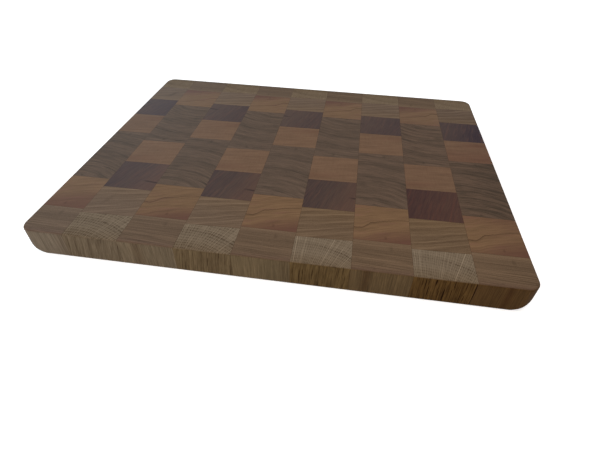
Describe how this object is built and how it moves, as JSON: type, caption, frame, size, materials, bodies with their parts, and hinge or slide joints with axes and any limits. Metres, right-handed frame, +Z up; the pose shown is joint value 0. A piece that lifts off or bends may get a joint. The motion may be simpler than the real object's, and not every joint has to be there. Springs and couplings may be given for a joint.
{
  "type": "cutting board",
  "caption": "Rectangular end-grain wooden cutting board of staggered blocks in several woods, with round corners and a finger round under each end.",
  "frame": {"origin": "middle of the underside", "axes": "+X along the long side, +Y from the front edge to the back, +Z up"},
  "size_m": [0.3888, 0.3078, 0.024],
  "materials": {
    "elm": "tan-brown end grain with fine straight lines, oiled, satin",
    "cherry": "orange-brown end grain, oiled, satin",
    "walnut": "olive-brown end grain with curved rings, oiled, satin",
    "purpleheart": "dark purple-brown end grain with steep streaks, oiled, satin",
    "ash": "tan end grain with arched rings, oiled, satin",
    "oak": "pale end grain with rays and rows of pores, oiled, satin",
    "glue": "cured wood glue, seen as dark hairlines"
  },
  "bodies": {
    "root": {"slice_1_elm_block": "elm", "slice_1_cherry_blocks": "cherry", "slice_1_walnut_block": "walnut", "slice_1_purpleheart_block": "purpleheart", "slice_1_ash_block": "ash", "slice_1_oak_block": "oak", "slice_2_elm_block": "elm", "slice_2_cherry_blocks": "cherry", "slice_2_walnut_block": "walnut", "slice_2_purpleheart_block": "purpleheart", "slice_2_ash_block": "ash", "slice_2_oak_block": "oak", "slice_3_elm_block": "elm", "slice_3_cherry_blocks": "cherry", "slice_3_walnut_block": "walnut", "slice_3_purpleheart_block": "purpleheart", "slice_3_ash_block": "ash", "slice_3_oak_block": "oak", "slice_4_elm_block": "elm", "slice_4_cherry_blocks": "cherry", "slice_4_walnut_block": "walnut", "slice_4_purpleheart_block": "purpleheart", "slice_4_ash_block": "ash", "slice_4_oak_block": "oak", "slice_5_elm_block": "elm", "slice_5_cherry_blocks": "cherry", "slice_5_walnut_block": "walnut", "slice_5_purpleheart_block": "purpleheart", "slice_5_ash_block": "ash", "slice_5_oak_block": "oak", "slice_6_elm_block": "elm", "slice_6_cherry_blocks": "cherry", "slice_6_walnut_block": "walnut", "slice_6_purpleheart_block": "purpleheart", "slice_6_ash_block": "ash", "slice_6_oak_block": "oak", "slice_7_elm_block": "elm", "slice_7_cherry_blocks": "cherry", "slice_7_walnut_block": "walnut", "slice_7_purpleheart_block": "purpleheart", "slice_7_ash_block": "ash", "slice_7_oak_block": "oak", "slice_8_elm_block": "elm", "slice_8_cherry_blocks": "cherry", "slice_8_walnut_block": "walnut", "slice_8_purpleheart_block": "purpleheart", "slice_8_ash_block": "ash", "slice_8_oak_block": "oak", "slice_9_elm_block": "elm", "slice_9_cherry_blocks": "cherry", "slice_9_walnut_block": "walnut", "slice_9_purpleheart_block": "purpleheart", "slice_9_ash_block": "ash", "slice_9_oak_block": "oak", "strip_glue_lines": "glue", "slice_glue_lines": "glue"}
  },
  "joints": []
}
